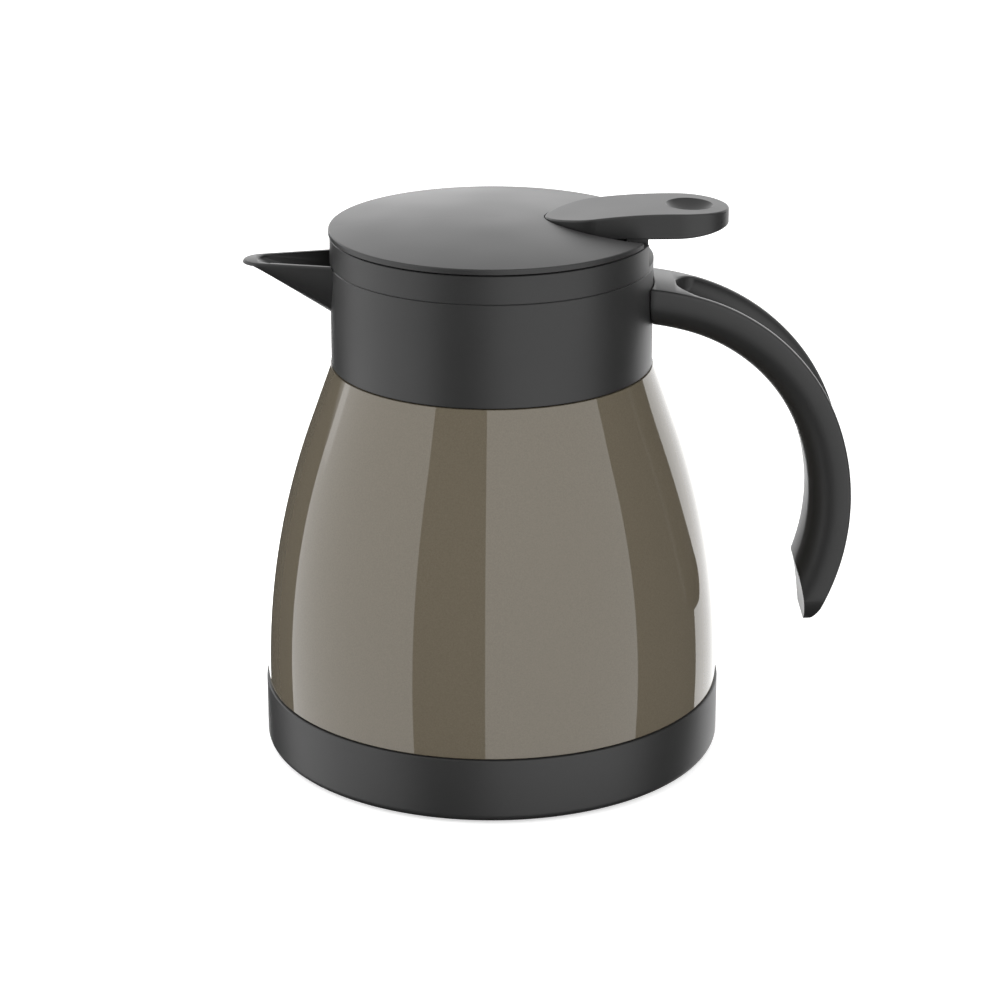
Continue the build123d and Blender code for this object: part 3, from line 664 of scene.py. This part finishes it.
def spoutColumn(inset, reach, low, high):
    # the spout's outline from above, pulled up between two heights
    s = spoutShape
    taper, root = math.radians(s["sideAngle"]), s["root"] - 0.2
    half = s["halfWidth"] - inset / math.cos(taper)
    rootHalf = half + math.tan(taper) * (collarShape["radius"] - root)
    endHalf = half - math.tan(taper) * (reach - collarShape["radius"])
    clearSelection()
    bpy.ops.mesh.primitive_plane_add(size=1, location=(-(reach + root) / 2 * mm, 0, low * mm))
    column = bpy.context.object
    column.scale = ((reach - root) * mm, 2 * rootHalf * mm, 1)
    bpy.ops.object.transform_apply(location=True, rotation=True, scale=True)
    bpy.ops.object.mode_set(mode="EDIT")
    pick("verts", lambda vert: vert.co.x < -(reach - 1) * mm)
    bpy.ops.transform.resize(value=(1, endHalf / rootHalf, 1), center_override=(-reach * mm, 0, low * mm))
    bpy.ops.mesh.bevel(offset=endHalf * 0.995 * mm, segments=20, affect="VERTICES")
    bpy.ops.mesh.select_all(action="SELECT")
    bpy.ops.mesh.extrude_region_move(TRANSFORM_OT_translate={"value": (0, 0, (high - low) * mm)})
    tidyMesh()
    return column


def makeCollar():
    c, s = collarShape, spoutShape
    seatRadius, seatChamfer = c["seat"]
    floorLow, floorTop = c["floor"]
    seam, radius = c["seam"], c["radius"]
    collar = turnOnAxis("collarBody", [
        (c["neckBore"], c["low"]), (radius - seam, c["low"]), (radius, c["low"] + seam),
        (radius, c["high"] - seam), (radius - seam, c["high"]), (c["bore"], c["high"]),
        (c["bore"], floorTop), (seatRadius + seatChamfer, floorTop), (seatRadius, floorTop - seatChamfer),
        (seatRadius, floorLow), (c["neckBore"], floorLow), (c["neckBore"], c["low"])], sides=256)

    spout = spoutHull(0, 0, s["lip"])
    spout.name = "spout"
    combine(spout, spoutColumn(0.01, s["reach"], floorLow, s["rim"] - s["lip"] / 2), "INTERSECT")
    combine(spout, spoutColumn(0, s["reach"], s["rim"] - s["lip"], s["rim"]), "UNION")
    rimLevel, rootLine = (s["rim"] - 0.01) * mm, -(s["root"] + 0.1) * mm
    bevelWhere(spout, lambda edge: isSharp(edge) and all(vert.co.z > rimLevel for vert in edge.verts)
               and not all(vert.co.x > rootLine for vert in edge.verts), s["edge"], 4)
    combine(spout, post((c["bore"] + radius) / 2, floorLow - 1, s["rim"] + 1), "DIFFERENCE")
    combine(spout, post(radius + 0.3, c["high"] - 0.02, s["rim"] + 1), "DIFFERENCE")
    combine(collar, spout, "UNION")

    drop = s["floorWall"] / math.cos(math.radians(s["slope"]))
    channel = spoutHull(s["wall"], drop, 0.1)
    combine(channel, spoutColumn(s["wall"], s["channelReach"], floorTop, s["rim"] + 1), "INTERSECT")
    combine(collar, channel, "DIFFERENCE")
    wallLine = -(radius + 0.5) * mm
    bevelWhere(collar, lambda edge: isSharp(edge) and all(
        vert.co.z > rimLevel and vert.co.x < wallLine for vert in edge.verts), s["innerEdge"], 3)
    half, low, high = c["tongueSlot"]
    slot = block((c["bore"] - 0.1, -half, low), (radius + 1, half, high))
    combine(collar, slot, "DIFFERENCE")
    finishPiece(collar, "carafe", "collar", finishes["black_plastic"])


makeCollar()


# Handle

handleShape = {
    "start": (39.5, 125.5),         # outer line inside the collar's wall; x and z in mm
    "heading": 5.6,                 # degrees below the horizontal
    "radii": (75.4, 54.5, 64.9),    # three tangent arcs
    "angles": (10.5, 54.4, 51.2),
    "steps": (6, 30, 28),
    "width": 22.6,
    "thickness": 10.6,
    "innerRound": 6.8,
    "outerRound": 0.9,
    "heelAngle": 19.1,              # inner corner, below the last arc's centre
    "tipWidth": 1.6,
    "cutSag": 0.7,
    "endRound": 9.0,
    "grooveSkip": 6.0,              # degrees of the first arc before the groove
    "grooveStop": 14.0,             # degrees of the last arc after it
    "grooveHalfWidth": 8.9,
    "grooveDepth": 5.0,
    "grooveBend": 4.4,              # rounding of its floor into its walls
    "seat": 41.4,
    "tongue": ((39.2, -8.0, 116.9), (42.3, 8.0, 122.9)),
    "edge": 0.45,
    "tipEdge": 0.3,
}


def arcPath(x, z, heading, angles):
    # centres of the handle's arcs, seen from the side, and where the last one ends
    centres = []
    for radius, angle in zip(handleShape["radii"], angles):
        down = math.radians(heading)
        centre = Vector((x - radius * math.sin(down), 0, z - radius * math.cos(down)))
        heading += angle
        down = math.radians(heading)
        x, z = centre.x + radius * math.sin(down), centre.z + radius * math.cos(down)
        centres.append(centre)
    return centres, Vector((x, 0, z))


def sweepBar(name, start, heading, angles, halfWidth, low, high, rounds):
    # a section standing across the handle's line, spun round the centres of its arcs
    centres, _ = arcPath(*start, heading, angles)
    down = math.radians(heading)
    across = Vector((math.sin(down), 0, math.cos(down)))
    along = Vector((math.cos(down), 0, -math.sin(down)))
    foot = Vector((start[0], 0, start[1])) * mm
    clearSelection()
    bpy.ops.mesh.primitive_plane_add(size=1, rotation=(0, down - math.pi / 2, 0),
                                     location=foot + across * (low + high) / 2 * mm)
    bar = bpy.context.object
    bar.name = name
    bar.scale = ((high - low) * mm, 2 * halfWidth * mm, 1)
    bpy.ops.object.transform_apply(location=True, rotation=True, scale=True)
    bpy.ops.object.mode_set(mode="EDIT")
    for level, bend, segments in rounds:
        pick("verts", lambda vert: abs((vert.co - foot).dot(across) - level * mm) < nearby)
        bpy.ops.mesh.bevel(offset=bend * mm, segments=segments, affect="VERTICES")
    bpy.ops.mesh.select_all(action="SELECT")
    bpy.ops.mesh.delete(type="ONLY_FACE")
    bpy.ops.mesh.select_all(action="SELECT")
    for centre, angle, count in zip(centres, angles, handleShape["steps"]):
        bpy.ops.mesh.spin(steps=count, angle=-math.radians(angle), axis=(0, 1, 0), center=centre * mm)
    bpy.ops.mesh.edge_face_add()
    # the first section alone: vertices in its plane and within 30 mm of the start
    pick("verts", lambda vert: abs((vert.co - foot).dot(along)) < nearby
         and (vert.co - foot).length < 30 * mm)
    bpy.ops.mesh.edge_face_add()
    tidyMesh()
    return bar


def makeHandle():
    s = handleShape
    half, thickness, innerReach = s["width"] / 2, s["thickness"], s["radii"][2] - s["thickness"]
    handle = sweepBar("handleGrip", s["start"], s["heading"], s["angles"], half, -thickness, 0,
                      [(-thickness, s["innerRound"], 8), (0, s["outerRound"], 3)])
    centres, tip = arcPath(*s["start"], s["heading"], s["angles"])

    # hollow cut across the lower end, from the heel to the toe
    lean = math.radians(s["heelAngle"])
    heel = centres[2] + Vector((math.cos(lean), 0, -math.sin(lean))) * innerReach
    toe = tip + (centres[2] - tip).normalized() * s["tipWidth"]
    cutRadius = ((toe - heel).length ** 2 / 4 + s["cutSag"] ** 2) / (2 * s["cutSag"])
    outward = Vector((heel.z - toe.z, 0, toe.x - heel.x)).normalized()
    clearSelection()
    bpy.ops.mesh.primitive_cylinder_add(
        vertices=360, radius=cutRadius * mm, depth=2 * s["width"] * mm, rotation=(math.pi / 2, 0, 0),
        location=((heel + toe) / 2 + outward * (s["cutSag"] - cutRadius)) * mm)
    combine(handle, bpy.context.object, "DIFFERENCE")

    # lower corners rounded as seen from behind, and the seat on the collar; the other sides of
    # the slabs only have to stand clear of the handle
    low = tip.z - 0.05
    slab = block((20, -half, low), (110, half, 140))
    bevelWhere(slab, lambda edge: runsAlong(edge, 0) and edge.verts[0].co.z < (low + 1) * mm,
               s["endRound"], 18)
    combine(handle, slab, "INTERSECT")
    combine(handle, post(s["seat"], 0, 140), "DIFFERENCE")

    # groove down the back, with round ends
    heading = s["heading"] + s["grooveSkip"]
    turn = math.radians(heading)
    start = centres[0] + Vector((math.sin(turn), 0, math.cos(turn))) * s["radii"][0]
    angles = (s["angles"][0] - s["grooveSkip"], s["angles"][1], s["angles"][2] - s["grooveStop"])
    half, depth = s["grooveHalfWidth"], s["grooveDepth"]
    groove = sweepBar("groove", (start.x, start.z), heading, angles, half, -depth, depth,
                      [(-depth, s["grooveBend"], 10)])
    stop = arcPath(start.x, start.z, heading, angles)[1]
    slab = block((start.x - 0.3, -half - 1, 20), (120, half + 1, 140))
    bevelWhere(slab, lambda edge: runsAlong(edge, 2) and edge.verts[0].co.x < start.x * mm, half + 0.9, 18)
    combine(groove, slab, "INTERSECT")
    slab = block((30, -half - 1, stop.z - 0.3), (120, half + 1, 140))
    bevelWhere(slab, lambda edge: runsAlong(edge, 0) and edge.verts[0].co.z < stop.z * mm, half + 0.9, 18)
    combine(groove, slab, "INTERSECT")
    combine(handle, groove, "DIFFERENCE")

    bevelWhere(handle, lambda edge: isSharp(edge) and edge.verts[0].co.z > (stop.z - 0.2) * mm,
               s["edge"], 3)
    tipLevel = (tip.z + 1) * mm
    bevelWhere(handle, lambda edge: isSharp(edge, 50) and edge.verts[0].co.z < tipLevel
               and edge.verts[1].co.z < tipLevel, s["tipEdge"], 3)
    combine(handle, block(*s["tongue"]), "UNION")
    finishPiece(handle, "carafe", "handle", finishes["black_plastic"])


makeHandle()
